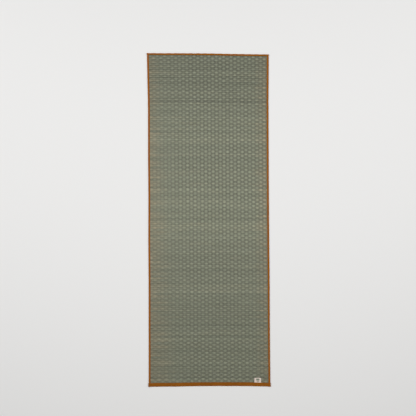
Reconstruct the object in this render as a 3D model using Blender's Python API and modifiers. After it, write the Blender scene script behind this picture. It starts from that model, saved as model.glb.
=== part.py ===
"""Woven rush floor mat with a folded cloth binding and a small cloth label, lying flat.

Metres, +Z up. The mat's length runs along Y, its head end is at +Y and its label is at the foot end.
The floor is at z = 0, under the middle of the mat.
"""
import math
from collections import namedtuple

import bmesh
import bpy

MAT_NAME = "rush_mat"

# Thicknesses. The rush is pressed thinner where the binding tape grips it.
RUSH_THICKNESS = 0.0030
PRESSED_RUSH = 0.0020
TAPE_THICKNESS = 0.0005
LABEL_THICKNESS = 0.0004
GAP = 0.0003

# Binding tape: how far each strip reaches in from the outline, and how deep its rounded outer fold is.
LEFT_TAPE_REACH = 0.0097
RIGHT_TAPE_REACH = 0.0102
HEAD_TAPE_REACH = 0.0097
FOOT_TAPE_REACH = 0.0206
FOLD_DEPTH = 0.0016
RUSH_SETBACK = 0.0028

# The end strips lie over the side strips, run a little past them and are pinched shut there.
HEAD_OVERHANG = 0.0006
FOOT_OVERHANG = 0.0016
SIDE_TUCK = 0.0014
PINCH_LENGTH = 0.0015
RAMP_LENGTH = 0.0040
COVER_RAMP_LENGTH = 0.0060

# The head fold bulges over the raised checks of the last woven row, at every second column of the weave,
# and draws in between them.
SCALLOP_PITCH = 0.0398
SCALLOP_DEPTH = 0.0008
SCALLOP_DRAWN_IN_AT = 0.0016

# Label, on the upper face by the foot strip. Its lower edge is caught under the tape.
LABEL_LEFT = 0.2466
LABEL_RIGHT = 0.2826
LABEL_TOP = -0.8528
LABEL_CAUGHT = 0.0060
LABEL_EASE = 0.0010

# Mesh fineness.
STATION_STEP = 0.060
HEAD_STATIONS_PER_SCALLOP = 6
FOOT_STATION_STEP = 0.030
FOLD_SEGMENTS = 6
PINCH_SEGMENTS = 5
PANEL_COLUMNS = 12
LABEL_COLUMNS = 6
LABEL_ROWS = 8

# The mat's outline is a little out of square. Long edges, from the head end to the foot end.
SideSection = namedtuple("SideSection", "y left right")
SIDE_SECTIONS = (
    SideSection(0.9000, -0.3346, 0.3241),
    SideSection(0.8300, -0.3330, 0.3239),
    SideSection(0.7570, -0.3317, 0.3236),
    SideSection(0.6490, -0.3292, 0.3229),
    SideSection(0.5400, -0.3284, 0.3233),
    SideSection(0.3240, -0.3280, 0.3241),
    SideSection(0.1080, -0.3263, 0.3254),
    SideSection(-0.1080, -0.3268, 0.3269),
    SideSection(-0.3240, -0.3252, 0.3291),
    SideSection(-0.5400, -0.3249, 0.3301),
    SideSection(-0.7570, -0.3247, 0.3318),
    SideSection(-0.9000, -0.3250, 0.3332),
)

# Short edges, from the left side to the right side.
EndSection = namedtuple("EndSection", "x foot head")
END_SECTIONS = (
    EndSection(-0.3350, -0.9027, 0.9026),
    EndSection(-0.2900, -0.9011, 0.9023),
    EndSection(-0.2360, -0.9007, 0.9020),
    EndSection(-0.1660, -0.9002, 0.9019),
    EndSection(-0.1120, -0.8989, 0.9016),
    EndSection(-0.0470, -0.8981, 0.9012),
    EndSection(0.0340, -0.8976, 0.9004),
    EndSection(0.0880, -0.8976, 0.8990),
    EndSection(0.1690, -0.8977, 0.8977),
    EndSection(0.2500, -0.8984, 0.8963),
    EndSection(0.3040, -0.8998, 0.8958),
    EndSection(0.3350, -0.9012, 0.8956),
)

# Sizes that follow from the ones above.
LEG_ROOM = TAPE_THICKNESS + GAP
BOUND_THICKNESS = 2 * LEG_ROOM + PRESSED_RUSH
LABEL_ROOM = LABEL_THICKNESS + GAP

Look = namedtuple("Look", "colour roughness")
RUSH_LOOK = Look((0.189, 0.194, 0.141), 0.60)
TAPE_LOOK = Look((0.245, 0.085, 0.012), 0.85)
LABEL_LOOK = Look((0.680, 0.610, 0.540), 0.90)


def clear_scene():
    for item in list(bpy.data.objects):
        bpy.data.objects.remove(item, do_unlink=True)


def smooth_step(amount):
    amount = min(max(amount, 0.0), 1.0)
    return amount * amount * (3.0 - 2.0 * amount)


def fade(distance, full_until, ramp):
    """One up to full_until, falling evenly to nothing over the ramp."""
    return min(max((full_until + ramp - distance) / ramp, 0.0), 1.0)


def along_outline(rows, key, column, position):
    """A smooth curve through one column of an outline table, read at a position in its key column."""
    rows = sorted(rows, key=lambda row: getattr(row, key))
    places = [getattr(row, key) for row in rows]
    values = [getattr(row, column) for row in rows]
    position = min(max(position, places[0]), places[-1])
    start = max(index for index, place in enumerate(places[:-1]) if place <= position)
    slopes = []
    for index in (start, start + 1):
        before = max(index - 1, 0)
        after = min(index + 1, len(rows) - 1)
        slopes.append((values[after] - values[before]) / (places[after] - places[before]))
    span = places[start + 1] - places[start]
    amount = (position - places[start]) / span
    bend = amount * amount * (3.0 - 2.0 * amount)
    level = values[start] + (values[start + 1] - values[start]) * bend
    rise = slopes[0] * amount * (1.0 - amount) ** 2 - slopes[1] * amount * amount * (1.0 - amount)
    return level + rise * span


def left_edge(y):
    return along_outline(SIDE_SECTIONS, "y", "left", y)


def right_edge(y):
    return along_outline(SIDE_SECTIONS, "y", "right", y)


def foot_edge(x):
    return along_outline(END_SECTIONS, "x", "foot", x)


def head_edge(x):
    return along_outline(END_SECTIONS, "x", "head", x)


def head_scallop(x):
    """How far the head strip's fold is drawn in from the outline; below nothing where it bulges."""
    turn = 2.0 * math.pi * (x - SCALLOP_DRAWN_IN_AT) / SCALLOP_PITCH
    return SCALLOP_DEPTH / 2.0 * math.cos(turn)


def side_grip(x, y):
    """How fully the side strips grip the rush at a place: one under the tape, nothing in the field."""
    left = fade(x - left_edge(y), LEFT_TAPE_REACH + GAP, RAMP_LENGTH)
    right = fade(right_edge(y) - x, RIGHT_TAPE_REACH + GAP, RAMP_LENGTH)
    return max(left, right)


def end_grip(x, y):
    """The same for the strips at the head and the foot."""
    foot = fade(y - foot_edge(x), FOOT_TAPE_REACH + GAP, RAMP_LENGTH)
    head = fade(head_edge(x) - y, HEAD_TAPE_REACH + GAP, RAMP_LENGTH)
    return max(foot, head)


def spread(start, end, step):
    """Even stations from start to end, no more than a step apart."""
    count = max(1, math.ceil((end - start) / step))
    return [start + (end - start) * index / count for index in range(count + 1)]


def make_material(name, look):
    material = bpy.data.materials.new(name)
    material.use_nodes = True
    shader = material.node_tree.nodes["Principled BSDF"]
    shader.inputs["Base Color"].default_value = (*look.colour, 1.0)
    shader.inputs["Roughness"].default_value = look.roughness
    shader.inputs["Metallic"].default_value = 0.0
    material.diffuse_color = (*look.colour, 1.0)
    return material


def grid_index(coordinate, segments):
    return round((coordinate + 1.0) / 2.0 * segments)


def add_object(shape, name, material, collection):
    mesh = bpy.data.meshes.new(name)
    shape.to_mesh(mesh)
    shape.free()
    mesh.materials.append(material)
    item = bpy.data.objects.new(name, mesh)
    collection.objects.link(item)
    return item


def add_cloth(name, columns, rows, place, thickness, material, collection):
    """A sheet of cloth: a grid laid along its middle surface and given its thickness."""
    shape = bmesh.new()
    bmesh.ops.create_grid(shape, x_segments=columns, y_segments=rows, size=1.0)
    for corner in shape.verts:
        column = grid_index(corner.co.x, columns)
        row = grid_index(corner.co.y, rows)
        corner.co = place(column, row)
    item = add_object(shape, name, material, collection)
    item.data.shade_smooth()
    solidify = item.modifiers.new("Thickness", "SOLIDIFY")
    solidify.thickness = thickness
    solidify.offset = 0.0
    solidify.use_even_offset = True
    return item


def folded_section(low, high, reach):
    """Tape folded round an edge, as distances in from the outline and heights of its middle surface."""
    half_tape = TAPE_THICKNESS / 2.0
    lower = low + half_tape
    upper = high - half_tape
    middle = (lower + upper) / 2.0
    half_height = (upper - lower) / 2.0
    points = [(reach, lower)]
    for index in range(FOLD_SEGMENTS + 1):
        turn = math.pi * index / FOLD_SEGMENTS
        inward = FOLD_DEPTH - (FOLD_DEPTH - half_tape) * math.sin(turn)
        points.append((inward, middle - half_height * math.cos(turn)))
    points.append((reach, upper))
    return points


def add_rush_panel(collection, material):
    """The woven panel: full thickness in the field, pressed and lifted where the tape grips it."""
    foot_side = [RUSH_SETBACK, FOOT_TAPE_REACH + GAP, FOOT_TAPE_REACH + GAP + RAMP_LENGTH]
    head_side = [RUSH_SETBACK, HEAD_TAPE_REACH + GAP, HEAD_TAPE_REACH + GAP + RAMP_LENGTH]
    left_side = [RUSH_SETBACK, LEFT_TAPE_REACH + GAP, LEFT_TAPE_REACH + GAP + RAMP_LENGTH]
    right_side = [RUSH_SETBACK, RIGHT_TAPE_REACH + GAP, RIGHT_TAPE_REACH + GAP + RAMP_LENGTH]
    middle_rows = spread(foot_edge(0.0) + foot_side[-1], head_edge(0.0) - head_side[-1], STATION_STEP)
    rows = len(foot_side) + len(head_side) + len(middle_rows) - 3
    columns = len(left_side) + len(right_side) + PANEL_COLUMNS - 2

    def across(column, y):
        if column < len(left_side):
            return left_edge(y) + left_side[column]
        if column > columns - len(right_side):
            return right_edge(y) - right_side[columns - column]
        left = left_edge(y) + left_side[-1]
        right = right_edge(y) - right_side[-1]
        return left + (right - left) * (column - len(left_side) + 1) / PANEL_COLUMNS

    def along(row, x):
        if row < len(foot_side):
            return foot_edge(x) + foot_side[row]
        if row > rows - len(head_side):
            return head_edge(x) - head_side[rows - row]
        return middle_rows[row - len(foot_side) + 1]

    def place(column, row, upper):
        x = across(column, along(row, 0.0))
        y = along(row, x)
        x = across(column, y)
        side = side_grip(x, y)
        end = end_grip(x, y)
        if not upper:
            return (x, y, LEG_ROOM * (side + end))
        pressed = RUSH_THICKNESS - LEG_ROOM - PRESSED_RUSH
        return (x, y, RUSH_THICKNESS - pressed * max(side, end) + LEG_ROOM * side * end)

    shape = bmesh.new()
    bmesh.ops.create_grid(shape, x_segments=columns, y_segments=rows, size=1.0)
    bmesh.ops.solidify(shape, geom=shape.faces[:], thickness=1.0)
    lowest = min(corner.co.z for corner in shape.verts)
    for corner in shape.verts:
        column = grid_index(corner.co.x, columns)
        row = grid_index(corner.co.y, rows)
        corner.co = place(column, row, corner.co.z > lowest + 0.5)
    bmesh.ops.recalc_face_normals(shape, faces=shape.faces[:])
    return add_object(shape, "rush_panel", material, collection)


def add_side_binding(name, edge, inward, reach, collection, material):
    """Tape folded round a long edge. Its two ends rise and tuck inside the head and foot strips."""
    edge_x = edge(0.0)
    foot = foot_edge(edge_x)
    head = head_edge(edge_x)
    foot_stations = [RUSH_SETBACK, FOOT_TAPE_REACH + GAP, FOOT_TAPE_REACH + GAP + RAMP_LENGTH]
    head_stations = [RUSH_SETBACK, HEAD_TAPE_REACH + GAP, HEAD_TAPE_REACH + GAP + RAMP_LENGTH]
    stations = [foot + distance for distance in foot_stations]
    stations += spread(foot + foot_stations[-1], head - head_stations[-1], STATION_STEP)[1:-1]
    stations += [head - distance for distance in reversed(head_stations)]

    def place(column, row):
        y = stations[row]
        lift = end_grip(edge_x, y)
        section = folded_section(LEG_ROOM * lift, LEG_ROOM * lift + BOUND_THICKNESS, reach)
        distance, z = section[column]
        tuck = SIDE_TUCK * lift * (1.0 - distance / reach)
        return (edge(y) + inward * (distance + tuck), y, z)

    columns = len(folded_section(0.0, BOUND_THICKNESS, reach)) - 1
    return add_cloth(name, columns, len(stations) - 1, place, TAPE_THICKNESS, material, collection)


def pinch_at_end(distance_from_end):
    """How open an end strip is near its own end: its legs close and end as two flat lips."""
    return smooth_step(distance_from_end / PINCH_LENGTH)


def covered_sides(end_y):
    """Where an end strip starts to come down, once it is clear of the side strips that it lies over."""
    left = left_edge(end_y) + LEFT_TAPE_REACH + 2.0 * GAP
    right = right_edge(end_y) - RIGHT_TAPE_REACH - 2.0 * GAP
    return left, right


def end_stations(end_y, overhang, step):
    """Places across an end strip, close together where its ends are pinched and ride over the sides."""
    start = left_edge(end_y) - overhang
    end = right_edge(end_y) + overhang
    left_inner, right_inner = covered_sides(end_y)
    pinch = [PINCH_LENGTH * index / PINCH_SEGMENTS for index in range(PINCH_SEGMENTS + 1)]
    left = [start + distance for distance in pinch]
    right = [end - distance for distance in reversed(pinch)]
    middle = spread(left_inner + COVER_RAMP_LENGTH, right_inner - COVER_RAMP_LENGTH, step)
    return left + [left_inner] + middle + [right_inner] + right


def label_rise(x):
    """How far the foot strip's upper leg is raised by the label caught under it."""
    ease = max(LABEL_LEFT - LABEL_EASE - x, x - LABEL_RIGHT - LABEL_EASE)
    return LABEL_ROOM * fade(ease, 0.0, RAMP_LENGTH)


def add_end_binding(name, edge, inward, reach, stations, rise, draw, collection, material):
    """Tape folded round a short edge and over the ends of the side strips, its own ends pinched shut."""
    start = stations[0]
    end = stations[-1]
    left_inner, right_inner = covered_sides(edge(0.0))
    closed_height = 2.0 * TAPE_THICKNESS + GAP

    def place(column, row):
        x = stations[row]
        from_sides = min(x - left_inner, right_inner - x)
        cover = fade(from_sides, 0.0, COVER_RAMP_LENGTH)
        height = BOUND_THICKNESS + 2.0 * LEG_ROOM * cover + rise(x)
        openness = pinch_at_end(min(x - start, end - x))
        squeezed = closed_height + (height - closed_height) * openness
        middle = height / 2.0
        section = folded_section(middle - squeezed / 2.0, middle + squeezed / 2.0, reach)
        distance, z = section[column]
        drawn = draw(x) * (1.0 - distance / reach)
        return (x, edge(x) + inward * (distance + drawn), z)

    columns = len(folded_section(0.0, BOUND_THICKNESS, reach)) - 1
    return add_cloth(name, columns, len(stations) - 1, place, TAPE_THICKNESS, material, collection)


def add_head_binding(collection, material):
    stations = end_stations(head_edge(0.0), HEAD_OVERHANG, SCALLOP_PITCH / HEAD_STATIONS_PER_SCALLOP)
    return add_end_binding(
        "binding_top", head_edge, -1.0, HEAD_TAPE_REACH, stations, lambda x: 0.0, head_scallop,
        collection, material,
    )


def add_foot_binding(collection, material):
    stations = end_stations(foot_edge(0.0), FOOT_OVERHANG, FOOT_STATION_STEP)
    for ease in (LABEL_EASE, LABEL_EASE + RAMP_LENGTH):
        stations += [LABEL_LEFT - ease, LABEL_RIGHT + ease]
    stations.sort()
    return add_end_binding(
        "binding_bottom", foot_edge, 1.0, FOOT_TAPE_REACH, stations, label_rise, lambda x: 0.0,
        collection, material,
    )


def add_label(collection, material):
    """A small woven label lying on the rush, following it down to where the tape catches it."""
    def place(column, row):
        x = LABEL_LEFT + (LABEL_RIGHT - LABEL_LEFT) * column / LABEL_COLUMNS
        tape_line = foot_edge(x) + FOOT_TAPE_REACH
        bottom = tape_line - LABEL_CAUGHT
        y = bottom + (LABEL_TOP - bottom) * row / LABEL_ROWS
        field_height = RUSH_THICKNESS + GAP + LABEL_THICKNESS / 2.0
        caught_height = LEG_ROOM + PRESSED_RUSH + GAP + LABEL_THICKNESS / 2.0
        grip = smooth_step(fade(y, tape_line + GAP, RAMP_LENGTH))
        return (x, y, field_height + (caught_height - field_height) * grip)

    return add_cloth("label", LABEL_COLUMNS, LABEL_ROWS, place, LABEL_THICKNESS, material, collection)


def build_mat():
    clear_scene()
    collection = bpy.data.collections.new(MAT_NAME)
    bpy.context.scene.collection.children.link(collection)
    rush = make_material("woven_rush", RUSH_LOOK)
    tape = make_material("binding_tape", TAPE_LOOK)
    label = make_material("label_cloth", LABEL_LOOK)
    add_rush_panel(collection, rush)
    add_side_binding("binding_left", left_edge, 1.0, LEFT_TAPE_REACH, collection, tape)
    add_side_binding("binding_right", right_edge, -1.0, RIGHT_TAPE_REACH, collection, tape)
    add_head_binding(collection, tape)
    add_foot_binding(collection, tape)
    add_label(collection, label)


build_mat()
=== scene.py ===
import math
import random
from bisect import bisect_right
from collections import namedtuple

import bmesh
import bpy
from mathutils import Matrix, Vector, noise


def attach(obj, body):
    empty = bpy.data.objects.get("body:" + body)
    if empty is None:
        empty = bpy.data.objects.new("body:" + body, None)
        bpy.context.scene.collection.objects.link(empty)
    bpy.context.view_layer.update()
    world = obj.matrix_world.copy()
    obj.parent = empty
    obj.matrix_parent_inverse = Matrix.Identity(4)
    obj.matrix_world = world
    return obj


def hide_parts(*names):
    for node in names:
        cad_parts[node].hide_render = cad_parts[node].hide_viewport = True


# A woven rush floor mat, bound with folded cloth tape and carrying one small cloth label.
# Metres, +Z up, the mat's length along Y and its head end at +Y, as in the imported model.
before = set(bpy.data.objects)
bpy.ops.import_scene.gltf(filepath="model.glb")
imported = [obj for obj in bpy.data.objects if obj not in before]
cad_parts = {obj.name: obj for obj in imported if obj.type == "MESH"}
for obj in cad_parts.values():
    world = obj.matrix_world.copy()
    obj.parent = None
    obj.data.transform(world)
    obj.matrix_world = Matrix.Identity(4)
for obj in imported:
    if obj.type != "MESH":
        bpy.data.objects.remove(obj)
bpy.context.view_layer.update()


# Camera. It hangs straight above the mat, which lies upright in a square picture, a little below the
# middle. The scale is set on the mat's upper face.
MAT_TOP = 0.0030
VIEW_WIDTH = 2.2485
VIEW_CENTRE = (-0.0042, 0.0651)
LENS = 50.0
SENSOR_WIDTH = 36.0

camera_data = bpy.data.cameras.new("camera")
camera_data.lens = LENS
camera_data.sensor_width = SENSOR_WIDTH
camera = bpy.data.objects.new("camera", camera_data)
camera.location = (*VIEW_CENTRE, MAT_TOP + VIEW_WIDTH * LENS / SENSOR_WIDTH)
bpy.context.scene.collection.objects.link(camera)
bpy.context.scene.camera = camera
bpy.context.scene.view_settings.view_transform = "Standard"


# Rush bundles. Each row of the mat is one flat bundle of dried rush stems, passed over one warp cord
# and under the next and beaten tight against the row before. Alternate rows rise at alternate cords, so
# both faces are covered in raised checks. The ends are gripped in the binding.
MAT_LENGTH = 1.80
RUSH_THICKNESS = 0.0030
PRESSED_RUSH = 0.0020
TAPE_THICKNESS = 0.0005
GAP = 0.0003
LEG_ROOM = TAPE_THICKNESS + GAP
RAMP_LENGTH = 0.0040
RUSH_SETBACK = 0.0028
Reaches = namedtuple("Reaches", "left right head foot")
TAPE_REACH = Reaches(left=0.0097, right=0.0102, head=0.0097, foot=0.0206)

ROWS = 165
COLUMNS = 33
FIRST_COLUMN = 0.785
STEPS_PER_COLUMN = 4
STATIONS = round((COLUMNS - 0.5) * STEPS_PER_COLUMN) + 2
BANDS = 4
BUNDLE_RISE = 0.00070
BUNDLE_HALF_THICKNESS = 0.00080
HALF_WIDTH_BETWEEN = 0.0058
HALF_WIDTH_RAISED = 0.0071
HALF_WIDTH_SUNK = 0.0061
GRIPPED_RISE = 0.45
GRIPPED_THICKNESS = 0.80
WANDER = 0.0005
WIDTH_SPREAD = 0.06

# The mat's outline is a little out of square: its long edges, and its short edges.
SideSection = namedtuple("SideSection", "y left right")
SIDE_SECTIONS = (
    SideSection(-0.9000, -0.3250, 0.3332),
    SideSection(-0.7570, -0.3247, 0.3318),
    SideSection(-0.5400, -0.3249, 0.3301),
    SideSection(-0.3240, -0.3252, 0.3291),
    SideSection(-0.1080, -0.3268, 0.3269),
    SideSection(0.1080, -0.3263, 0.3254),
    SideSection(0.3240, -0.3280, 0.3241),
    SideSection(0.5400, -0.3284, 0.3233),
    SideSection(0.6490, -0.3292, 0.3229),
    SideSection(0.7570, -0.3317, 0.3236),
    SideSection(0.8300, -0.3330, 0.3239),
    SideSection(0.9000, -0.3346, 0.3241),
)
EndSection = namedtuple("EndSection", "x foot head")
END_SECTIONS = (
    EndSection(-0.3350, -0.9027, 0.9026),
    EndSection(-0.2900, -0.9011, 0.9023),
    EndSection(-0.2360, -0.9007, 0.9020),
    EndSection(-0.1660, -0.9002, 0.9019),
    EndSection(-0.1120, -0.8989, 0.9016),
    EndSection(-0.0470, -0.8981, 0.9012),
    EndSection(0.0340, -0.8976, 0.9004),
    EndSection(0.0880, -0.8976, 0.8990),
    EndSection(0.1690, -0.8977, 0.8977),
    EndSection(0.2500, -0.8984, 0.8963),
    EndSection(0.3040, -0.8998, 0.8958),
    EndSection(0.3350, -0.9012, 0.8956),
)

# The rows were not beaten quite evenly: some stretches lie toward the foot, some toward the head.
RowDrift = namedtuple("RowDrift", "y shift")
ROW_DRIFTS = (
    RowDrift(-0.9000, -0.0010),
    RowDrift(-0.7000, -0.0012),
    RowDrift(-0.3000, 0.0010),
    RowDrift(0.0300, 0.0012),
    RowDrift(0.2500, -0.0010),
    RowDrift(0.6380, -0.0026),
    RowDrift(0.8300, 0.0),
    RowDrift(0.9000, 0.0),
)

# One bundle cut across, from its head side over the top to its foot side: three strands of stems lie
# side by side. Places are shares of its half width, and heights shares of its half thickness.
SectionPoint = namedtuple("SectionPoint", "place height")
UPPER_SECTION = (
    SectionPoint(1.00, 0.00),
    SectionPoint(0.74, 0.82),
    SectionPoint(0.37, 0.66),
    SectionPoint(0.00, 1.00),
    SectionPoint(-0.37, 0.66),
    SectionPoint(-0.74, 0.82),
)
LOWER_SECTION = tuple(SectionPoint(-point.place, -point.height) for point in UPPER_SECTION)
SECTION = UPPER_SECTION + LOWER_SECTION + UPPER_SECTION[:1]


class Curve:
    """A smooth curve through one column of a table, whose first column rises evenly."""

    def __init__(self, rows, column):
        self.places = [row[0] for row in rows]
        self.values = [getattr(row, column) for row in rows]
        last = len(rows) - 1
        self.slopes = []
        for index in range(len(rows)):
            before = max(index - 1, 0)
            after = min(index + 1, last)
            rise = self.values[after] - self.values[before]
            self.slopes.append(rise / (self.places[after] - self.places[before]))

    def __call__(self, place):
        place = min(max(place, self.places[0]), self.places[-1])
        start = min(bisect_right(self.places, place) - 1, len(self.places) - 2)
        span = self.places[start + 1] - self.places[start]
        share = (place - self.places[start]) / span
        bend = share * share * (3.0 - 2.0 * share)
        level = self.values[start] + (self.values[start + 1] - self.values[start]) * bend
        leaving = self.slopes[start] * share * (1.0 - share) ** 2
        arriving = self.slopes[start + 1] * share * share * (1.0 - share)
        return level + (leaving - arriving) * span


left_edge = Curve(SIDE_SECTIONS, "left")
right_edge = Curve(SIDE_SECTIONS, "right")
foot_edge = Curve(END_SECTIONS, "foot")
head_edge = Curve(END_SECTIONS, "head")
row_drift = Curve(ROW_DRIFTS, "shift")


def fade(distance, full_until, ramp):
    """One up to full_until, falling evenly to nothing over the ramp."""
    return min(max((full_until + ramp - distance) / ramp, 0.0), 1.0)


def side_grip(x, y):
    """How fully the side strips grip the rush at a place: one under the tape, nothing in the field."""
    left = fade(x - left_edge(y), TAPE_REACH.left + GAP, RAMP_LENGTH)
    right = fade(right_edge(y) - x, TAPE_REACH.right + GAP, RAMP_LENGTH)
    return max(left, right)


def end_grip(x, y):
    """The same for the strips at the head and the foot."""
    foot = fade(y - foot_edge(x), TAPE_REACH.foot + GAP, RAMP_LENGTH)
    head = fade(head_edge(x) - y, TAPE_REACH.head + GAP, RAMP_LENGTH)
    return max(foot, head)


def column_x(column, y):
    """Where a warp cord lies across the mat. The cords lean with the long edges."""
    left = left_edge(y)
    return left + (column + FIRST_COLUMN) * (right_edge(y) - left) / COLUMNS


def row_y(row, x):
    """The middle of a woven row, counted from the head end. The rows turn with the short edges."""
    head = head_edge(x)
    y = head + (foot_edge(x) - head) * (row + 0.5) / ROWS
    return y + row_drift(y)


def weave_height(column, row):
    """One where a bundle rides over a cord, minus one where it dips under it."""
    return -math.cos(math.pi * (column + row))


# How pale the rush is painted, from the middle of a raised check in quarter columns to the hollow beside it.
# It is rubbed pale and painted lit where it is raised, painted darkest as shade where it dives, and a little
# paler again in the hollow.
CHECK_LIGHT_AND_WEAR_TONES = (1.00, 0.76, 0.04, 0.08, 0.36)


def light_and_wear_tone(height):
    """The tone at a height of the weave, read between the values of that list."""
    quarter = math.acos(min(max(height, -1.0), 1.0)) / math.pi * (len(CHECK_LIGHT_AND_WEAR_TONES) - 1)
    before = min(int(quarter), len(CHECK_LIGHT_AND_WEAR_TONES) - 2)
    return CHECK_LIGHT_AND_WEAR_TONES[before] + (CHECK_LIGHT_AND_WEAR_TONES[before + 1] - CHECK_LIGHT_AND_WEAR_TONES[before]) * (quarter - before)


def middle_height(side, end):
    """Height of the woven sheet's middle, which the tape's lower leg lifts off the floor."""
    gripped = LEG_ROOM + PRESSED_RUSH / 2.0
    return RUSH_THICKNESS / 2.0 + (gripped - RUSH_THICKNESS / 2.0) * max(side, end) + LEG_ROOM * side * end


# How the rush has coloured. A few rows stand out along the whole width, where a bundle of paler or darker
# stems was woven in, and row 23 is painted darker as the shade of a deep gap between rows; the rest differ
# by chance. Along the length the stems came in batches of different tone, and the middle rows are painted
# lighter as a painted sheen.
StandoutRow = namedtuple("StandoutRow", "row shade")
STANDOUT_ROWS = (
    StandoutRow(9, 1.07),
    # Painted shade of a deep gap between two rows.
    StandoutRow(23, 0.77),
    StandoutRow(42, 1.10),
    StandoutRow(49, 1.09),
    StandoutRow(67, 1.18),
    StandoutRow(75, 1.12),
    StandoutRow(107, 0.88),
    StandoutRow(118, 1.10),
    StandoutRow(134, 0.89),
    StandoutRow(141, 1.15),
    StandoutRow(147, 0.91),
    StandoutRow(153, 1.11),
    StandoutRow(158, 0.88),
    StandoutRow(160, 0.85),
)
ROW_SHADE_SPREAD = 0.045
ROW_SHADE_SEED = 41
LengthTone = namedtuple("LengthTone", "row tone")
# Partly batches of stems, partly a painted sheen that lightens the middle rows.
BATCH_AND_SHEEN_TONES = (
    LengthTone(0, 0.88),
    LengthTone(12, 0.90),
    LengthTone(30, 1.05),
    LengthTone(60, 1.07),
    LengthTone(84, 1.12),
    LengthTone(100, 1.05),
    LengthTone(120, 0.99),
    LengthTone(132, 0.96),
    LengthTone(150, 0.94),
    LengthTone(165, 0.99),
)
DRY_RIM = 0.012
DRY_REACH_LEFT_HEAD = 0.060
DRY_REACH_LEFT_FOOT = 0.150
DRY_REACH_RIGHT = 0.075
DRY_EVENLY = 0.75
DRY_IN_STREAKS = 0.90
GREENEST = -0.30
TINT_SPREAD = 0.30
STREAK_SHADE = 0.16
STREAKS_IN_GREEN = 0.40
CHECK_SPREAD = 0.40

# How strongly the checks' painted light and shade stand out: weaker toward the left side and the foot end,
# strongest near the middle as a painted sheen.
AcrossRelief = namedtuple("AcrossRelief", "x share")
ACROSS_RELIEFS = (
    AcrossRelief(-0.33, 0.32),
    AcrossRelief(-0.21, 0.66),
    AcrossRelief(-0.08, 1.00),
    AcrossRelief(0.15, 1.00),
    AcrossRelief(0.25, 0.90),
    AcrossRelief(0.34, 0.82),
)
AlongRelief = namedtuple("AlongRelief", "y share")
ALONG_RELIEFS = (
    AlongRelief(-0.90, 0.66),
    AlongRelief(-0.30, 0.88),
    AlongRelief(0.25, 1.12),
    AlongRelief(0.60, 1.00),
    AlongRelief(0.90, 0.95),
)

shades = random.Random(ROW_SHADE_SEED)
row_shades = [1.0 + shades.uniform(-ROW_SHADE_SPREAD, ROW_SHADE_SPREAD) for _ in range(ROWS)]
for standout in STANDOUT_ROWS:
    row_shades[standout.row] = standout.shade
batch_and_sheen_tone = Curve(BATCH_AND_SHEEN_TONES, "tone")
across_relief = Curve(ACROSS_RELIEFS, "share")
along_relief = Curve(ALONG_RELIEFS, "share")


def dryness(x, y):
    """How tan the rush has dried: most at the long edges, thinning out toward the middle."""
    foot_share = (MAT_LENGTH / 2.0 - y) / MAT_LENGTH
    left_reach = DRY_REACH_LEFT_HEAD + (DRY_REACH_LEFT_FOOT - DRY_REACH_LEFT_HEAD) * foot_share
    left = fade(x - left_edge(y), DRY_RIM, left_reach)
    right = fade(right_edge(y) - x, DRY_RIM, DRY_REACH_RIGHT)
    return max(left, right)


# What is uneven along a bundle and from row to row: how often it changes in a metre and in a row, and
# the layer of the noise that it is read from.
Unevenness = namedtuple("Unevenness", "per_metre per_row layer")
WIDTH_SWELLS = Unevenness(14.0, 1.70, 9.4)
WANDERING = Unevenness(9.0, 2.30, 0.7)
PALE_STREAKS = Unevenness(7.0, 0.83, 3.1)
TAN_STREAKS = Unevenness(9.0, 1.37, 17.2)
RUBBED_CHECKS = Unevenness(31.0, 2.90, 5.5)


def uneven(kind, x, row):
    """A soft random value on both sides of nothing."""
    return noise.noise(Vector((x * kind.per_metre, row * kind.per_row, kind.layer)))


BundlePlace = namedtuple(
    "BundlePlace", "x y z half_width half_thickness height tone dry relief lowest highest"
)


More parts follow.
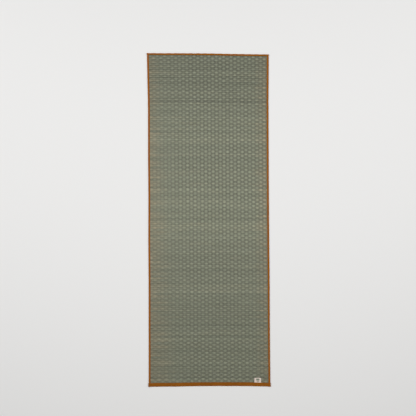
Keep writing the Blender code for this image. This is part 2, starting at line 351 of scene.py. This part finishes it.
def bundle_places(row, width_factor):
    """The bundle's path across the mat, from one closed tip to the other."""
    middle_y = row_y(row, 0.0)
    left = left_edge(middle_y)
    pitch = (right_edge(middle_y) - left) / COLUMNS
    tip = RUSH_SETBACK / pitch - FIRST_COLUMN
    far_tip = COLUMNS - RUSH_SETBACK / pitch - FIRST_COLUMN
    steps = STATIONS - 2
    columns = [tip] + [-0.5 + index / STEPS_PER_COLUMN for index in range(steps + 1)] + [far_tip]
    places = []
    for index, column in enumerate(columns):
        x = left + (column + FIRST_COLUMN) * pitch
        y = row_y(row, x)
        side = side_grip(x, y)
        end = end_grip(x, y)
        grip = max(side, end)
        height = weave_height(column, row)
        raised = max(height, 0.0)
        sunk = max(-height, 0.0)
        half_width = HALF_WIDTH_BETWEEN + (HALF_WIDTH_RAISED - HALF_WIDTH_BETWEEN) * raised
        half_width += (HALF_WIDTH_SUNK - HALF_WIDTH_BETWEEN) * sunk
        half_width *= width_factor * (1.0 + WIDTH_SPREAD * uneven(WIDTH_SWELLS, x, row))
        half_thickness = BUNDLE_HALF_THICKNESS * (1.0 - (1.0 - GRIPPED_THICKNESS) * grip)
        rise = BUNDLE_RISE * (1.0 - (1.0 - GRIPPED_RISE) * grip)
        wander = WANDER * uneven(WANDERING, x, row) * (1.0 - grip)
        if index in (0, STATIONS):
            half_width = half_thickness = 0.0
        dry = dryness(x, y)
        streak = uneven(PALE_STREAKS, x, row)
        tan = dry * (DRY_EVENLY + DRY_IN_STREAKS * streak) + TINT_SPREAD * uneven(TAN_STREAKS, x, row)
        # The painted light and shade of the checks also varies at random from check to check.
        rubbed = 1.0 + CHECK_SPREAD * uneven(RUBBED_CHECKS, x, row)
        pale = 1.0 + STREAK_SHADE * streak * (STREAKS_IN_GREEN + dry)
        places.append(BundlePlace(
            x=x,
            y=y + wander,
            z=middle_height(side, end) + rise * height,
            half_width=half_width,
            half_thickness=half_thickness,
            height=height,
            tone=row_shades[row] * batch_and_sheen_tone(row) * pale,
            dry=min(max(tan, GREENEST), 1.0),
            relief=across_relief(x) * along_relief(y) * rubbed,
            lowest=foot_edge(x) + RUSH_SETBACK,
            highest=head_edge(x) - RUSH_SETBACK,
        ))
    return places


FACES_PER_BUNDLE = STATIONS * (len(SECTION) - 1)
STEMS_PER_BUNDLE = 14
LANE_MARGIN = 0.04
FLANK_SHADE_TONE = 0.50
EDGE_ROUNDING = 1.3
EVEN_TONE = 0.45
MERGE_DISTANCE = 1e-6
BUNDLE_SIZE_SEED = 7
bundle_sizes = random.Random(BUNDLE_SIZE_SEED)


def grid_step(place, steps):
    """Which step of a grid, one unit wide about its middle, a corner stands at."""
    return round((place + 0.5) * steps)


def add_bundle(shape, row, layers):
    """One bundle: a flat grid rolled round its path, whose two long edges meet underneath."""
    places = bundle_places(row, 1.0 + bundle_sizes.uniform(-WIDTH_SPREAD, WIDTH_SPREAD))
    grid = bmesh.ops.create_grid(
        shape, x_segments=STATIONS, y_segments=len(SECTION) - 1, size=0.5, calc_uvs=True
    )
    for corner in grid["verts"]:
        place = places[grid_step(corner.co.x, STATIONS)]
        point = SECTION[grid_step(corner.co.y, len(SECTION) - 1)]
        y = min(max(place.y + place.half_width * point.place, place.lowest), place.highest)
        corner.co = (place.x, y, place.z + place.half_thickness * point.height)
        # Raised checks are painted paler, partly as rubbed wear and partly as painted light; dives are
        # painted darker as painted shade.
        crown = light_and_wear_tone(place.height if point.height >= 0.0 else -place.height)
        # The bundle's flanks, where the rows meet, are painted darker as painted shade between the rows.
        crown *= FLANK_SHADE_TONE + (1.0 - FLANK_SHADE_TONE) * min(abs(point.height) * EDGE_ROUNDING, 1.0)
        corner[layers.crown] = EVEN_TONE + (crown - EVEN_TONE) * place.relief
        corner[layers.tone] = place.tone
        corner[layers.dry] = place.dry
        corner[layers.row] = row


def lay_out_lanes(shape, bake_map, stem_map):
    """Gives every bundle its own lane across the piece's picture map, and counts the stems round it."""
    lanes = len(shape.faces) // FACES_PER_BUNDLE
    for number, face in enumerate(shape.faces):
        lane = number // FACES_PER_BUNDLE
        for loop in face.loops:
            along, round_it = loop[bake_map].uv
            loop[stem_map].uv = (along, round_it * STEMS_PER_BUNDLE)
            across = LANE_MARGIN + (1.0 - 2.0 * LANE_MARGIN) * round_it
            loop[bake_map].uv.y = (lane + across) / lanes


def add_piece(shape, name, material):
    """Makes a finished bmesh a piece of the mat that lies still with it."""
    mesh = bpy.data.meshes.new(name)
    shape.to_mesh(mesh)
    shape.free()
    mesh.materials.append(material)
    mesh.shade_smooth()
    piece = bpy.data.objects.new(name, mesh)
    bpy.context.scene.collection.objects.link(piece)
    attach(piece, "root")
    return piece


class Wire:
    """A value on its way through a material. A sum on it adds the Math node that works it out."""

    def __init__(self, finish, socket):
        self.finish = finish
        self.socket = socket

    def math(self, operation, *values):
        sockets = dict(enumerate(values))
        return self.finish.add("Math", {"operation": operation}, sockets)

    def __add__(self, other):
        return self.math("ADD", self, other)

    def __sub__(self, other):
        return self.math("SUBTRACT", self, other)

    def __mul__(self, other):
        return self.math("MULTIPLY", self, other)

    def __rsub__(self, other):
        return self.math("SUBTRACT", other, self)

    __radd__ = __add__
    __rmul__ = __mul__


class Finish:
    """A material in the making. Its constant values are set on the shader's own sockets."""

    def __init__(self, name, **constants):
        self.material = bpy.data.materials.new(name)
        self.material.use_nodes = True
        self.shader = self.material.node_tree.nodes["Principled BSDF"]
        self.paint(**constants)

    def add(self, kind, settings=None, sockets=None, output=0):
        """Adds a node: first its settings, then the values or wires of its sockets."""
        node = self.material.node_tree.nodes.new("ShaderNode" + kind)
        for name, value in (settings or {}).items():
            setattr(node, name, value)
        for name, value in (sockets or {}).items():
            self.feed(node.inputs[name], value)
        return Wire(self, node.outputs[output])

    def feed(self, socket, value):
        if isinstance(value, Wire):
            self.material.node_tree.links.new(value.socket, socket)
        elif socket.type == "RGBA":
            socket.default_value = (*value, 1.0)
        else:
            socket.default_value = value

    def blend(self, share, first, second):
        """A colour between two others. A Mix node has its colours at sockets 6 and 7, and gives it at 2."""
        return self.add("Mix", {"data_type": "RGBA"}, {"Factor": share, 6: first, 7: second}, 2)

    def brighten(self, colour, factor):
        return self.add("VectorMath", {"operation": "SCALE"}, {0: colour, "Scale": factor})

    def grain(self, place, rates, detail=2.0):
        """Soft random values from nothing to one, changing so many times a metre along each axis."""
        stretched = self.add("VectorMath", {"operation": "MULTIPLY"}, {0: place, 1: rates})
        return self.add("TexNoise", {}, {"Vector": stretched, "Scale": 1.0, "Detail": detail})

    def own_value(self, name):
        return self.add("Attribute", {"attribute_name": name}, output="Fac")

    def object_place(self):
        return self.add("TexCoord", output="Object")

    def own_map(self, name):
        return self.add("UVMap", {"uv_map": name})

    def part_of(self, place, axis):
        return self.add("SeparateXYZ", {}, {0: place}, axis)

    def bump(self, height, depth):
        return self.add("Bump", {}, {"Height": height, "Distance": depth, "Strength": 1.0})

    def paint(self, **values):
        """Sets the shader's own sockets, named in small letters."""
        for name, value in values.items():
            socket = name.replace("_", " ").title().replace("Ior", "IOR")
            self.feed(self.shader.inputs[socket], value)
        return self.material


# Rush turns from grey green to tan as it dries. Its skin has a dull wax shine, most of all on the
# raised checks that feet rub, and every stem has its own shade and fine ribs along it.
GREEN_RUSH = (0.184, 0.196, 0.136)
TAN_RUSH = (0.222, 0.200, 0.128)
# Raised checks are painted lighter, as rubbed wear and painted light, and hollows and dives darker as
# painted shade.
SUNK_SHADED_TONE = 0.69
RAISED_LIT_AND_RUBBED_TONE = 1.26
STEM_SHADE = 0.34
MOTTLE_SHADE = 0.30
RIB_SHADE = 0.16
STEM_GROOVE_SHADE_TONE = 0.86
STEM_ROUND_LIGHT = 0.20
STEM_DRY_SPREAD = 0.50
STEM_DRY_MIDDLE = 0.60
STEM_ROUND_DEPTH = 0.00022
RIB_DEPTH = 0.00006
MOTTLE_RATES = (22.0, 160.0, 160.0)
RIB_RATES = (45.0, 2600.0, 2600.0)
PATCH_RATES = (9.0, 30.0, 9.0)
RUSH_ROUGHNESS = 0.50
PATCH_ROUGHNESS = 0.25
RUBBED_SMOOTH = 0.06

rush = Finish("woven_rush_finish", specular_ior_level=0.5)
place = rush.object_place()
stem_place = rush.part_of(rush.own_map("stems"), "Y")
stem_number = stem_place.math("FLOOR", stem_place)
stem_key = rush.add("CombineXYZ", {}, {"X": stem_number, "Y": rush.own_value("row"), "Z": 0.5})
own_shade = rush.add("TexWhiteNoise", {"noise_dimensions": "3D"}, {"Vector": stem_key})
stem_round = stem_place.math("ABSOLUTE", stem_place.math("SINE", stem_place * math.pi))
mottle = rush.grain(place, MOTTLE_RATES)
ribs = rush.grain(place, RIB_RATES)
patches = rush.grain(place, PATCH_RATES)
crown = rush.own_value("crown")
stem_tone = 1.0 + STEM_SHADE * (own_shade - 0.5) + MOTTLE_SHADE * (mottle - 0.5) + RIB_SHADE * (ribs - 0.5)
# Each stem is painted darker at its edges, as painted shade in the grooves between stems, and lighter along
# its round middle.
stem_tone = stem_tone * (STEM_GROOVE_SHADE_TONE + STEM_ROUND_LIGHT * stem_round)
rush_tone = stem_tone * (SUNK_SHADED_TONE + (RAISED_LIT_AND_RUBBED_TONE - SUNK_SHADED_TONE) * crown) * rush.own_value("tone")
dry = rush.own_value("dry") + STEM_DRY_SPREAD * (own_shade - STEM_DRY_MIDDLE)
dry = dry.math("MINIMUM", dry.math("MAXIMUM", dry, 0.0), 1.0)
rush_material = rush.paint(
    base_color=rush.brighten(rush.blend(dry, GREEN_RUSH, TAN_RUSH), rush_tone),
    roughness=RUSH_ROUGHNESS + PATCH_ROUGHNESS * (patches - 0.5) - RUBBED_SMOOTH * crown,
    normal=rush.bump(ribs * RIB_DEPTH + stem_round * STEM_ROUND_DEPTH, 1.0),
)

Layers = namedtuple("Layers", "crown tone dry row")
for band in range(BANDS):
    first_row = ROWS * band // BANDS
    last_row = ROWS * (band + 1) // BANDS
    shape = bmesh.new()
    bake_map = shape.loops.layers.uv.new("OFBake")
    stem_map = shape.loops.layers.uv.new("stems")
    layers = Layers(*[shape.verts.layers.float.new(name) for name in Layers._fields])
    for row in range(first_row, last_row):
        add_bundle(shape, row, layers)
    lay_out_lanes(shape, bake_map, stem_map)
    bmesh.ops.remove_doubles(shape, verts=shape.verts[:], dist=MERGE_DISTANCE)
    bmesh.ops.recalc_face_normals(shape, faces=shape.faces[:])
    piece = add_piece(shape, f"rush_band_{band + 1}", rush_material)
    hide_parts("rush_panel")
    band_length = row_y(first_row, 0.0) - row_y(last_row, 0.0)
    right_edge(0.0) - left_edge(0.0) - 2.0 * RUSH_SETBACK


# Warp cords. Thin twisted bast cords run the whole length of the mat, one to each column of checks.
# Each passes over and under the bundles, and shows only at the bottom of the hollows.
WARP_RADIUS = 0.0004
WARP_SWING = 0.0006
WARP_SIDES = 4
WARP_STEPS_PER_ROW = 2
WARP_TAIL_ROWS = 0.2
WARP_COLOUR = (0.210, 0.185, 0.120)
TWIST_RATES = (900.0, 420.0, 900.0)
TWIST_DEPTH = 0.00010
TWIST_DARK = 0.70
TWIST_SPREAD = 0.60


def add_warp(shape, column):
    """One cord: a flat grid rolled round its path, closed at both ends."""
    steps = (ROWS - 1) * WARP_STEPS_PER_ROW + 2
    grid = bmesh.ops.create_grid(shape, x_segments=steps, y_segments=WARP_SIDES, size=0.5)
    path = []
    for index in range(steps + 1):
        row = min(max((index - 1) / WARP_STEPS_PER_ROW, -WARP_TAIL_ROWS), ROWS - 1 + WARP_TAIL_ROWS)
        y = row_y(row, column_x(column, row_y(row, 0.0)))
        x = column_x(column, y)
        side = side_grip(x, y)
        end = end_grip(x, y)
        swing = WARP_SWING * (1.0 - (1.0 - GRIPPED_RISE) * max(side, end))
        height = middle_height(side, end) - swing * weave_height(column, row)
        path.append((x, y, height, 0.0 if index in (0, steps) else WARP_RADIUS))
    for corner in grid["verts"]:
        x, y, z, radius = path[grid_step(corner.co.x, steps)]
        turn = 2.0 * math.pi * grid_step(corner.co.y, WARP_SIDES) / WARP_SIDES
        corner.co = (x + radius * math.cos(turn), y, z + radius * math.sin(turn))


warp = Finish("warp_cord_finish", roughness=0.85)
twist = warp.grain(warp.object_place(), TWIST_RATES, detail=1.0)
warp_material = warp.paint(
    base_color=warp.brighten(WARP_COLOUR, TWIST_DARK + TWIST_SPREAD * twist),
    normal=warp.bump(twist, TWIST_DEPTH),
)
shape = bmesh.new()
for column in range(COLUMNS):
    add_warp(shape, column)
bmesh.ops.remove_doubles(shape, verts=shape.verts[:], dist=MERGE_DISTANCE)
bmesh.ops.recalc_face_normals(shape, faces=shape.faces[:])
warps = add_piece(shape, "warp_cords", warp_material)
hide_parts("rush_panel")


# Side strips. A woven cotton tape is folded lengthwise round each long edge and sewn through. Its rounded
# fold is painted darker as painted shade, its inner edges are drawn down at every stitch, and its ends tuck
# under the end strips.
FOLD_DEPTH = 0.0016
SIDE_TUCK = 0.0014
BOUND_THICKNESS = 2.0 * LEG_ROOM + PRESSED_RUSH
LEG_STEP = 0.0016
FOLD_SEGMENTS = 8
STITCH_PITCH = 0.0045
STITCH_LENGTH = 0.0038
STITCH_WIDTH = 0.00050
STITCH_ROOM = 0.0030
DRAWN_IN = 0.00012
PUFFED_OUT = 0.00006
RIPPLE = 0.00012
UNDERSIDE_SHARE = 0.3
ROW_PITCH = MAT_LENGTH / ROWS
COLUMN_PITCH = 0.0199


def folded_section(low, high, reach):
    """Tape folded round an edge, as distances in from the outline and heights of its middle surface."""
    half_tape = TAPE_THICKNESS / 2.0
    lower = low + half_tape
    upper = high - half_tape
    half_height = (upper - lower) / 2.0
    steps = round((reach - FOLD_DEPTH) / LEG_STEP)
    leg = [FOLD_DEPTH + (reach - FOLD_DEPTH) * index / steps for index in range(1, steps + 1)]
    points = [(distance, lower) for distance in reversed(leg)]
    for index in range(FOLD_SEGMENTS + 1):
        turn = math.pi * index / FOLD_SEGMENTS
        inward = FOLD_DEPTH - (FOLD_DEPTH - half_tape) * math.sin(turn)
        points.append((inward, (lower + upper) / 2.0 - half_height * math.cos(turn)))
    return points + [(distance, upper) for distance in leg]


def unfolded_places(section):
    """Distances across the tape laid flat, from its lower inner edge."""
    places = [0.0]
    for before, after in zip(section, section[1:]):
        places.append(places[-1] + math.dist(before, after))
    return places


def even_stations(start, end, step):
    """Places from start to end, evenly apart and no further than the step."""
    count = max(1, math.ceil((end - start) / step))
    return [start + (end - start) * index / count for index in range(count + 1)]


def proud(column, columns, row, along, ripple_pitch):
    on_top = column > columns / 2
    from_inner_edge = columns - column if on_top else column
    if abs(column - columns / 2) <= FOLD_SEGMENTS / 2:
        return 0.0
    if from_inner_edge <= 1 and row % 2:
        height = -DRAWN_IN
    else:
        height = PUFFED_OUT + RIPPLE * math.cos(2.0 * math.pi * along / ripple_pitch)
    return height if on_top else -UNDERSIDE_SHARE * height


def add_cloth(name, columns, rows, place, widths, lengths, material, thickness, tone=1.0):
    """A sheet of cloth laid along its middle surface. Its own map is in metres, for its threads."""
    shape = bmesh.new()
    thread_map = shape.loops.layers.uv.new("threads")
    tone_layer = shape.verts.layers.float.new("tone")
    bmesh.ops.create_grid(shape, x_segments=columns, y_segments=rows, size=0.5, calc_uvs=True)
    for face in shape.faces:
        for loop in face.loops:
            share = loop[thread_map].uv.copy()
            loop[thread_map].uv = (widths[round(share.x * columns)], lengths[round(share.y * rows)])
    for corner in shape.verts:
        corner.co = place(grid_step(corner.co.x, columns), grid_step(corner.co.y, rows))
        corner[tone_layer] = tone
    piece = add_piece(shape, name, material)
    solidify = piece.modifiers.new("Thickness", "SOLIDIFY")
    solidify.thickness = thickness
    solidify.offset = 0.0
    return piece


def one_stitch():
    """One short length of thread, drawn tight at both ends, about the middle of the object."""
    shape = bmesh.new()
    bmesh.ops.create_uvsphere(shape, u_segments=6, v_segments=4, radius=0.5)
    bmesh.ops.scale(shape, vec=(STITCH_WIDTH, STITCH_WIDTH, STITCH_LENGTH), verts=shape.verts[:])
    mesh = bpy.data.meshes.new("one_stitch")
    shape.to_mesh(mesh)
    shape.free()
    return mesh


def add_seam(name, columns, stations, place, material):
    """Short raised stitches along both inner edges of a strip, each between two holes, but none where
    the strip's ends are pinched.
    """
    pattern = one_stitch()
    shape = bmesh.new()
    for column in (1, columns - 1):
        outward = TAPE_THICKNESS / 2.0 + PUFFED_OUT
        if column == 1:
            outward = -outward
        for row in range(2, len(stations) - 2, 2):
            before = Vector(place(column, row - 1))
            after = Vector(place(column, row + 1))
            if (after - before).length < STITCH_ROOM:
                continue
            lie = (after - before).to_track_quat("Z", "Y").to_matrix().to_4x4()
            middle = (before + after) / 2.0 + Vector((0.0, 0.0, outward))
            stitch = pattern.copy()
            stitch.transform(Matrix.Translation(middle) @ lie)
            shape.from_mesh(stitch)
            bpy.data.meshes.remove(stitch)
    bpy.data.meshes.remove(pattern)
    return add_piece(shape, name, material)


# Cotton tape dyed a strong orange brown, with a fine plain weave, faded in patches.
TAPE_COLOUR = (0.284, 0.092, 0.0052)
TAPE_DARK = (0.197, 0.061, 0.0030)
FOLD_SHADE_TONE = 0.65
THREAD_PITCH = 0.00055
THREAD_DEPTH = 0.00008
THREAD_SHADE = 0.10
FADE_RATES = (30.0, 14.0, 30.0)
SLUB_RATES = (700.0, 220.0, 1.0)
SLUB_SHADE = 0.40
TAPE_ROUGHNESS = 0.85
SLUB_ROUGHNESS = 0.20
STITCH_COLOUR = (0.190, 0.062, 0.008)
STRAND_RATES = (1800.0, 1800.0, 1800.0)
STRAND_DEPTH = 0.00005
STRAND_DARK = 0.70
STRAND_SPREAD = 0.60
SIDE_TAPE_TONE = 1.15
FOOT_TAPE_TONE = 1.00


def plain_weave(across, along, pitch):
    """The rise and fall of crossing threads, from minus one to one, a pitch apart both ways."""
    across_wave = across.math("SINE", across * (math.pi / pitch))
    along_wave = along.math("SINE", along * (math.pi / pitch))
    return across_wave * along_wave


tape = Finish("binding_tape_finish", specular_ior_level=0.15)
thread_place = tape.own_map("threads")
threads = plain_weave(tape.part_of(thread_place, "X"), tape.part_of(thread_place, "Y"), THREAD_PITCH)
slubs = tape.grain(thread_place, SLUB_RATES)
fading = tape.grain(tape.object_place(), FADE_RATES, detail=3.0)
# The tape is painted darker toward the middle height of its fold: painted shade on the rounded outer edge.
tape_height = tape.part_of(tape.object_place(), "Z")
off_fold = tape_height.math("ABSOLUTE", tape_height * (2.0 / BOUND_THICKNESS) - 1.0)
fold_painted_shade = FOLD_SHADE_TONE + (1.0 - FOLD_SHADE_TONE) * off_fold.math("MINIMUM", off_fold, 1.0)
tape_tone = (1.0 + THREAD_SHADE * threads + SLUB_SHADE * (slubs - 0.5)) * fold_painted_shade * tape.own_value("tone")
tape_material = tape.paint(
    base_color=tape.brighten(tape.blend(fading, TAPE_DARK, TAPE_COLOUR), tape_tone),
    roughness=TAPE_ROUGHNESS + SLUB_ROUGHNESS * (slubs - 0.5),
    normal=tape.bump(threads + slubs, THREAD_DEPTH),
)
stitching = Finish("stitching_finish", roughness=0.60)
strand = stitching.grain(stitching.object_place(), STRAND_RATES, detail=1.0)
stitch_material = stitching.paint(
    base_color=stitching.brighten(STITCH_COLOUR, STRAND_DARK + STRAND_SPREAD * strand),
    normal=stitching.bump(strand, STRAND_DEPTH),
)


def add_side_strip(name, cad_node, edge, inward, reach):
    """One long strip, whose two ends rise and tuck inside the head and foot strips."""
    edge_x = edge(0.0)
    foot = foot_edge(edge_x)
    head = head_edge(edge_x)
    stations = even_stations(foot + RUSH_SETBACK, head - RUSH_SETBACK, STITCH_PITCH / 2.0)
    widths = unfolded_places(folded_section(0.0, BOUND_THICKNESS, reach))
    columns = len(widths) - 1

    def place(column, row):
        y = stations[row]
        lift = end_grip(edge_x, y)
        section = folded_section(LEG_ROOM * lift, LEG_ROOM * lift + BOUND_THICKNESS, reach)
        distance, z = section[column]
        tuck = SIDE_TUCK * lift * (1.0 - distance / reach)
        z += proud(column, columns, row, y, 2.0 * ROW_PITCH) * (1.0 - lift)
        return (edge(y) + inward * (distance + tuck), y, z)

    strip = add_cloth(
        name, columns, len(stations) - 1, place, widths, stations, tape_material,
        TAPE_THICKNESS, SIDE_TAPE_TONE,
    )
    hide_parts(cad_node)
    seam = add_seam(f"{name}_seam", columns, stations, place, stitch_material)
    flat = (widths[-1], stations[-1] - stations[0])


add_side_strip("left_tape", "binding_left", left_edge, 1.0, TAPE_REACH.left)
add_side_strip("right_tape", "binding_right", right_edge, -1.0, TAPE_REACH.right)


# End strips. The same tape is folded round the two short edges, over the ends of the side strips, and its
# own ends are pinched shut. The head fold bulges over the raised checks of the last row. The foot strip
# is wider, and rises over the label that it catches.
HEAD_OVERHANG = 0.0006
FOOT_OVERHANG = 0.0016
PINCH_LENGTH = 0.0015
PINCH_SEGMENTS = 5
PINCHED_GAP = 0.00004
COVER_RAMP_LENGTH = 0.0060
SCALLOP_DEPTH = 0.0008
SCALLOP_DRAWN_IN_AT = 0.0016
LABEL_THICKNESS = 0.0004
LABEL_LEFT = 0.2466
LABEL_RIGHT = 0.2826
LABEL_TOP = -0.8528
LABEL_CAUGHT = 0.0060
LABEL_EASE = 0.0010


def head_scallop(x):
    """How far the head strip's fold is drawn in from the outline; below nothing where it bulges."""
    return SCALLOP_DEPTH / 2.0 * math.cos(math.pi * (x - SCALLOP_DRAWN_IN_AT) / COLUMN_PITCH)


def label_rise(x):
    """How far the foot strip's upper leg is raised by the label caught under it."""
    ease = max(LABEL_LEFT - LABEL_EASE - x, x - LABEL_RIGHT - LABEL_EASE)
    return (LABEL_THICKNESS + GAP) * fade(ease, 0.0, RAMP_LENGTH)


def smooth_step(share):
    """A share from nothing to one, eased at both ends."""
    share = min(max(share, 0.0), 1.0)
    return share * share * (3.0 - 2.0 * share)


def add_end_strip(name, cad_node, edge, inward, reach, overhang, rise, draw, tone):
    """One short strip, folded round the ends of the rows in one band and of both side strips."""
    start = left_edge(edge(0.0)) - overhang
    end = right_edge(edge(0.0)) + overhang
    left_inner = left_edge(edge(0.0)) + TAPE_REACH.left + 2.0 * GAP
    right_inner = right_edge(edge(0.0)) - TAPE_REACH.right - 2.0 * GAP
    pinch = [PINCH_LENGTH * index / PINCH_SEGMENTS for index in range(PINCH_SEGMENTS)]
    turning_points = (start + PINCH_LENGTH, left_inner, right_inner, end - PINCH_LENGTH)
    stations = [start + distance for distance in pinch]
    for before, after in zip(turning_points, turning_points[1:]):
        stations += even_stations(before, after, STITCH_PITCH / 2.0)[:-1]
    stations += [end - PINCH_LENGTH] + [end - distance for distance in reversed(pinch)]
    widths = unfolded_places(folded_section(0.0, BOUND_THICKNESS, reach))
    columns = len(widths) - 1
    closed_height = 2.0 * TAPE_THICKNESS + PINCHED_GAP

    def place(column, row):
        x = stations[row]
        cover = fade(min(x - left_inner, right_inner - x), 0.0, COVER_RAMP_LENGTH)
        height = BOUND_THICKNESS + 2.0 * LEG_ROOM * cover + rise(x)
        openness = smooth_step(min(x - start, end - x) / PINCH_LENGTH)
        squeezed = closed_height + (height - closed_height) * openness
        section = folded_section((height - squeezed) / 2.0, (height + squeezed) / 2.0, reach)
        distance, z = section[column]
        drawn = draw(x) * (1.0 - distance / reach)
        z += proud(column, columns, row, x, 2.0 * COLUMN_PITCH) * (1.0 - cover)
        return (x, edge(x) + inward * (distance + drawn), z)

    strip = add_cloth(
        name, columns, len(stations) - 1, place, widths, stations, tape_material,
        TAPE_THICKNESS, tone,
    )
    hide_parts(cad_node)
    seam = add_seam(f"{name}_seam", columns, stations, place, stitch_material)
    end - start


add_end_strip(
    "head_tape", "binding_top", head_edge, -1.0, TAPE_REACH.head, HEAD_OVERHANG, lambda x: 0.0, head_scallop,
    SIDE_TAPE_TONE,
)
add_end_strip(
    "foot_tape", "binding_bottom", foot_edge, 1.0, TAPE_REACH.foot, FOOT_OVERHANG, label_rise, lambda x: 0.0,
    FOOT_TAPE_TONE,
)


# Label. A small, nearly square piece of off-white cloth lies on the rush by the right end of the foot
# strip, which catches its lower edge. It is printed with a plain block over two short lines.
LABEL_COLUMNS = 24
LABEL_ROWS = 24
LABEL_CURL = 0.0005
LABEL_CURL_SHARPNESS = 4
LABEL_THREAD_PITCH = 0.0004
LABEL_THREAD_DEPTH = 0.00005
LABEL_THREAD_SHADE = 0.06
LABEL_CLEAN_TONE = 0.92
SOILING_SHADE = 0.16
SOILING_RATES = (120.0, 120.0, 1.0)
LABEL_ROUGHNESS = 0.85
SOILING_ROUGHNESS = 0.10
LABEL_COLOUR = (0.680, 0.575, 0.505)
MARK_COLOUR = (0.205, 0.220, 0.165)
LabelBar = namedtuple("LabelBar", "middle_x middle_y half_width half_height")
LABEL_BARS = (
    LabelBar(0.0180, 0.0225, 0.0085, 0.0048),
    LabelBar(0.0180, 0.0148, 0.0085, 0.0012),
    LabelBar(0.0180, 0.0108, 0.0060, 0.0012),
)

label_width = LABEL_RIGHT - LABEL_LEFT
label_foot = foot_edge(LABEL_LEFT) + TAPE_REACH.foot - LABEL_CAUGHT
label_length = LABEL_TOP - label_foot


def label_place(column, row):
    x = LABEL_LEFT + label_width * column / LABEL_COLUMNS
    tape_line = foot_edge(x) + TAPE_REACH.foot
    bottom = tape_line - LABEL_CAUGHT
    y = bottom + (LABEL_TOP - bottom) * row / LABEL_ROWS
    field_height = RUSH_THICKNESS + GAP + LABEL_THICKNESS / 2.0
    caught_height = LEG_ROOM + PRESSED_RUSH + GAP + LABEL_THICKNESS / 2.0
    grip = smooth_step(fade(y, tape_line + GAP, RAMP_LENGTH))
    toward_corner = abs(2.0 * column / LABEL_COLUMNS - 1.0) * (row / LABEL_ROWS)
    curl = LABEL_CURL * toward_corner ** LABEL_CURL_SHARPNESS
    return (x, y, field_height + (caught_height - field_height) * grip + curl)


label_cloth = Finish("label_cloth_finish", specular_ior_level=0.25)
label_map = label_cloth.own_map("threads")
across = label_cloth.part_of(label_map, "X")
along = label_cloth.part_of(label_map, "Y")
label_threads = plain_weave(across, along, LABEL_THREAD_PITCH)
mark = 0.0
for bar in LABEL_BARS:
    off_x = across.math("ABSOLUTE", across - bar.middle_x)
    off_y = along.math("ABSOLUTE", along - bar.middle_y)
    inside = off_x.math("LESS_THAN", off_x, bar.half_width) * off_y.math("LESS_THAN", off_y, bar.half_height)
    mark = mark + inside
soiling = label_cloth.grain(label_map, SOILING_RATES, detail=3.0)
label_tone = LABEL_CLEAN_TONE + LABEL_THREAD_SHADE * label_threads + SOILING_SHADE * soiling
label_material = label_cloth.paint(
    base_color=label_cloth.brighten(label_cloth.blend(mark, LABEL_COLOUR, MARK_COLOUR), label_tone),
    roughness=LABEL_ROUGHNESS + SOILING_ROUGHNESS * (soiling - 0.5),
    normal=label_cloth.bump(label_threads, LABEL_THREAD_DEPTH),
)
label_widths = [label_width * column / LABEL_COLUMNS for column in range(LABEL_COLUMNS + 1)]
label_lengths = [label_length * row / LABEL_ROWS for row in range(LABEL_ROWS + 1)]
label = add_cloth(
    "cloth_label", LABEL_COLUMNS, LABEL_ROWS, label_place, label_widths, label_lengths, label_material,
    LABEL_THICKNESS,
)
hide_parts("label")


# Floor. A plain, matt, pale floor lies under the mat and runs on past the picture on every side, so
# that nothing else shows around it.
FLOOR_HALF_SIZE = 6.0
FLOOR_COLOUR = (0.800, 0.797, 0.790)

floor_finish = Finish("floor_finish", roughness=0.90, specular_ior_level=0.10, base_color=FLOOR_COLOUR)
shape = bmesh.new()
bmesh.ops.create_grid(shape, x_segments=1, y_segments=1, size=FLOOR_HALF_SIZE)
floor_mesh = bpy.data.meshes.new("floor")
shape.to_mesh(floor_mesh)
shape.free()
floor_mesh.materials.append(floor_finish.material)
floor = bpy.data.objects.new("floor", floor_mesh)
bpy.context.scene.collection.objects.link(floor)


# Studio light. A soft box close above the camera gives the rush its dull shine in the middle, two wider
# ones stand off to the sides toward the head end, and a pale room fills the hollows.
ROOM_STRENGTH = 0.22
ROOM_COLOUR = (1.0, 0.995, 0.985, 1.0)
StudioLight = namedtuple("StudioLight", "name place aim size power")
STUDIO_LIGHTS = (
    StudioLight("front_box", (0.0, 0.10, 3.60), (0.0, 0.0, 0.0), 1.0, 43.0),
    StudioLight("left_box", (-4.0, 1.50, 3.50), (0.0, 0.3, 0.0), 2.0, 121.0),
    StudioLight("right_box", (4.0, 1.50, 3.50), (0.0, 0.3, 0.0), 2.0, 115.0),
)

room = bpy.data.worlds.new("room")
room.use_nodes = True
room_light = room.node_tree.nodes["Background"]
room_light.inputs["Color"].default_value = ROOM_COLOUR
room_light.inputs["Strength"].default_value = ROOM_STRENGTH
bpy.context.scene.world = room
for studio_light in STUDIO_LIGHTS:
    lamp = bpy.data.lights.new(studio_light.name, "AREA")
    lamp.shape = "SQUARE"
    lamp.size = studio_light.size
    lamp.energy = studio_light.power
    box = bpy.data.objects.new(studio_light.name, lamp)
    box.location = studio_light.place
    aim = Vector(studio_light.aim) - box.location
    box.rotation_euler = aim.to_track_quat("-Z", "Y").to_euler()
    bpy.context.scene.collection.objects.link(box)


bpy.context.view_layer.update()
